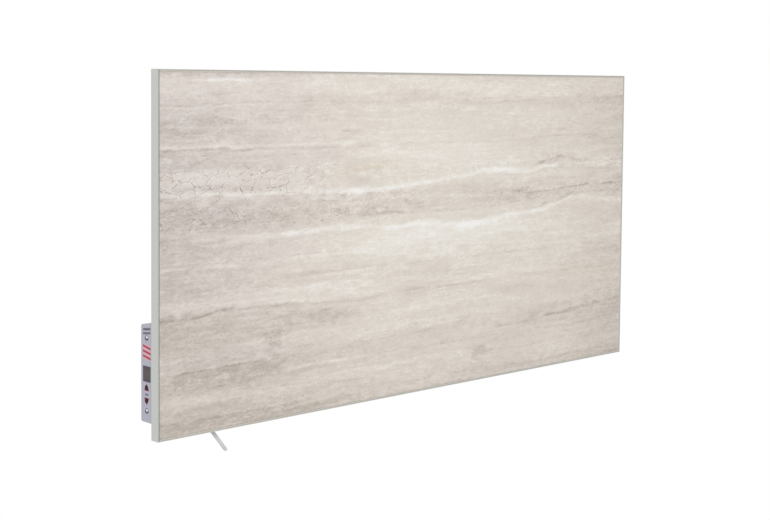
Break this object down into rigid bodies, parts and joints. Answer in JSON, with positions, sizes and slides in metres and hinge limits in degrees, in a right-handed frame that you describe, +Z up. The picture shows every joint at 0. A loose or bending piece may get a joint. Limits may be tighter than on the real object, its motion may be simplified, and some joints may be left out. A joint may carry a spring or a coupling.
{
  "type": "infrared panel heater",
  "caption": "Flat wall heater with a stone-look ceramic tile in a thin coated frame, a side-facing control box with display and push buttons, wall rails behind and a mains lead with plug.",
  "frame": {"origin": "centre of the panel, in the plane of the wall that it hangs on", "axes": "+X to the right as seen from the front, +Y back into the wall, +Z up"},
  "size_m": [1.2, 0.07, 0.6459],
  "materials": {
    "tile": "satin, printed travertine look",
    "seal": "matte, pale",
    "grommet_rubber": "matte",
    "frame_coat": "satin powder coat",
    "zinc_sheet": "galvanised sheet",
    "screw_steel": "zinc plated",
    "heating_foil": "etched foil",
    "mica": "matte sheet",
    "reflector_foil": "bright foil",
    "mineral_wool": "fibrous board",
    "box_plastic": "fine texture, lavender grey",
    "lens": "smoked, glossy",
    "button_plastic": "dark maroon",
    "circuit_board": "coated board",
    "black_plastic": "satin",
    "white_plastic": "satin",
    "probe_metal": "nickel plated",
    "live_sleeve": "soft sleeve",
    "neutral_sleeve": "soft sleeve",
    "earth_sleeve": "soft sleeve",
    "cord_sheath": "soft light grey"
  },
  "bodies": {
    "panel": {"front_tile": "tile", "edge_seal": "seal", "lead_grommet": "grommet_rubber", "frame_left": "frame_coat", "frame_right": "frame_coat", "frame_top": "frame_coat", "frame_bottom": "frame_coat", "corner_key_1": "zinc_sheet", "corner_key_2": "zinc_sheet", "corner_key_3": "zinc_sheet", "corner_key_4": "zinc_sheet", "rear_cover": "zinc_sheet", "mount_rail_left": "zinc_sheet", "mount_rail_right": "zinc_sheet", "cover_screw_1": "screw_steel", "cover_screw_2": "screw_steel", "cover_screw_3": "screw_steel", "cover_screw_4": "screw_steel", "cover_screw_5": "screw_steel", "cover_screw_6": "screw_steel", "rail_screw_1": "screw_steel", "rail_screw_2": "screw_steel", "rail_screw_3": "screw_steel", "rail_screw_4": "screw_steel", "box_screw_1": "screw_steel", "box_screw_2": "screw_steel", "fascia_screw_1": "screw_steel", "fascia_screw_2": "screw_steel", "heating_element": "heating_foil", "mica_sheet": "mica", "reflector_sheet": "reflector_foil", "insulation_board": "mineral_wool", "control_housing": "box_plastic", "fascia_plate": "box_plastic", "display_lens": "lens", "control_board": "circuit_board", "thermal_cutout": "black_plastic", "power_relay": "black_plastic", "tact_switch_up": "black_plastic", "tact_switch_down": "black_plastic", "cord_tie": "black_plastic", "display_module": "white_plastic", "terminal_block": "white_plastic", "tie_anchor": "white_plastic", "temperature_probe": "probe_metal", "plug_pin_1": "probe_metal", "plug_pin_2": "probe_metal", "core_live": "live_sleeve", "heater_lead_1": "live_sleeve", "core_neutral": "neutral_sleeve", "heater_lead_2": "neutral_sleeve", "core_earth": "earth_sleeve", "mains_cord_lead": "cord_sheath", "mains_cord_hank": "cord_sheath", "mains_cord_tail": "cord_sheath", "strain_relief": "cord_sheath", "plug_body": "cord_sheath"},
    "up_button": {"button_up": "button_plastic"},
    "down_button": {"button_down": "button_plastic"}
  },
  "joints": [
    {"name": "up_button_press", "type": "slide", "parent": "panel", "child": "up_button", "axis": [1, 0, 0], "range_m": [0, 0.0005], "stiffness_N_per_m": 800},
    {"name": "down_button_press", "type": "slide", "parent": "panel", "child": "down_button", "axis": [1, 0, 0], "range_m": [0, 0.0005], "stiffness_N_per_m": 800}
  ]
}
